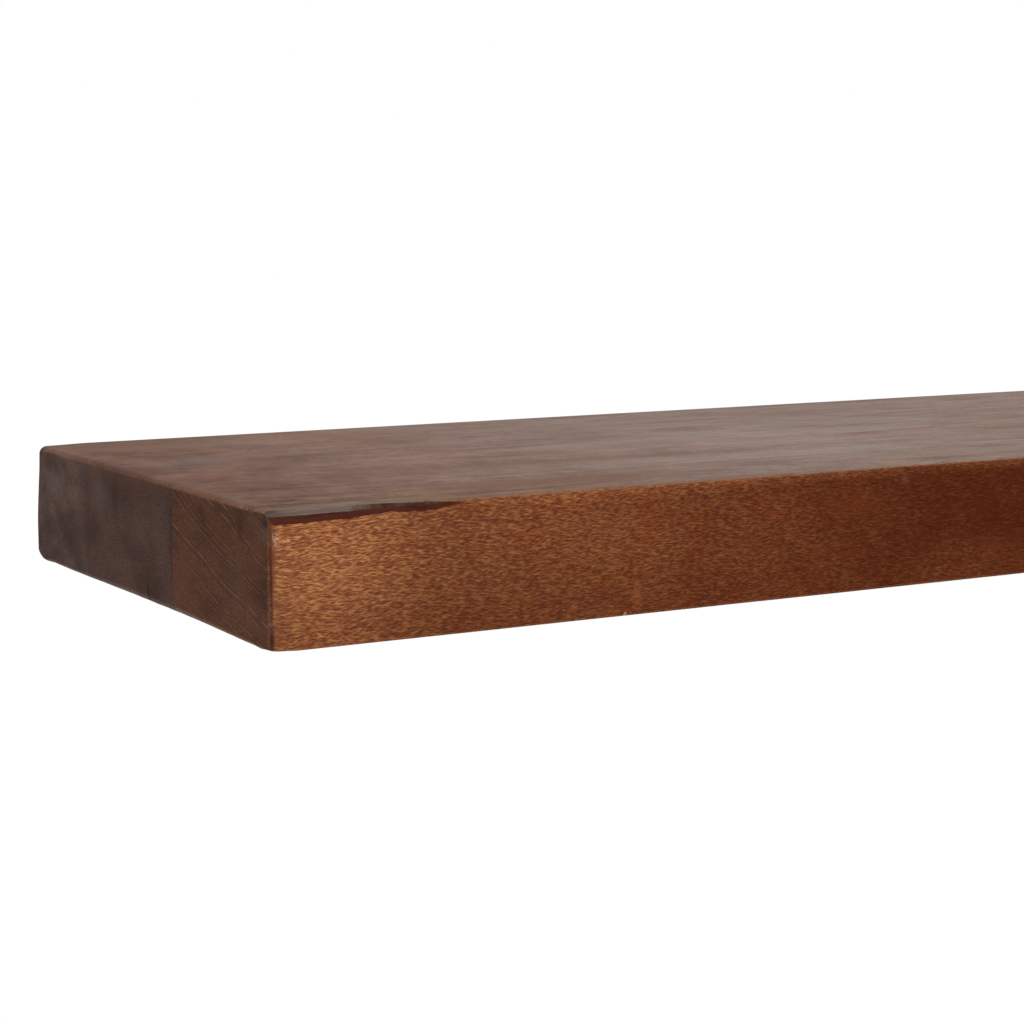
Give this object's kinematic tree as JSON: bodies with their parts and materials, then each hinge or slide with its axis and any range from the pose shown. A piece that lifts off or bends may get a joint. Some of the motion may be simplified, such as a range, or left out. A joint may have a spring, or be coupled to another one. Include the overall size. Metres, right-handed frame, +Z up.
{
  "type": "floating wall shelf",
  "caption": "Thick edge-glued wood plank that slides onto steel rods of a hidden wall plate and is locked from below by clamp screws.",
  "frame": {"origin": "centre of the wall plate's back face, on the wall and on the mid-plane of the plank's thickness", "axes": "+X along the shelf, to the right as seen from the room; +Y into the wall; +Z up"},
  "size_m": [0.9144, 0.2543, 0.0508],
  "materials": {
    "rear_wood": "satin grey-brown stain",
    "middle_wood": "satin grey-brown stain",
    "front_wood": "satin red-brown stain",
    "plate_steel": "fine-texture black powder coat",
    "rod_steel": "bright zinc plate",
    "nut_steel": "bright zinc plate",
    "insert_brass": "turned brass",
    "screw_steel": "black oxide"
  },
  "bodies": {
    "wall_bracket": {"wall_plate": "plate_steel", "support_rod_1": "rod_steel", "support_rod_2": "rod_steel", "support_rod_3": "rod_steel", "support_rod_4": "rod_steel", "lock_nut_1": "nut_steel", "lock_nut_2": "nut_steel", "lock_nut_3": "nut_steel", "lock_nut_4": "nut_steel"},
    "shelf_board": {"rear_stave": "rear_wood", "middle_stave": "middle_wood", "front_stave": "front_wood", "clamp_insert_left": "insert_brass", "clamp_insert_right": "insert_brass"},
    "clamp_left": {"clamp_screw_left": "screw_steel"},
    "clamp_right": {"clamp_screw_right": "screw_steel"}
  },
  "joints": [
    {"name": "board_slide", "type": "slide", "parent": "wall_bracket", "child": "shelf_board", "axis": [0, -1, 0], "range_m": [0, 0.19]},
    {"name": "clamp_screw_left_travel", "type": "slide", "parent": "shelf_board", "child": "clamp_left", "axis": [0, 0, -1], "range_m": [0, 0.003]},
    {"name": "clamp_screw_right_travel", "type": "slide", "parent": "shelf_board", "child": "clamp_right", "axis": [0, 0, -1], "range_m": [0, 0.003]}
  ]
}
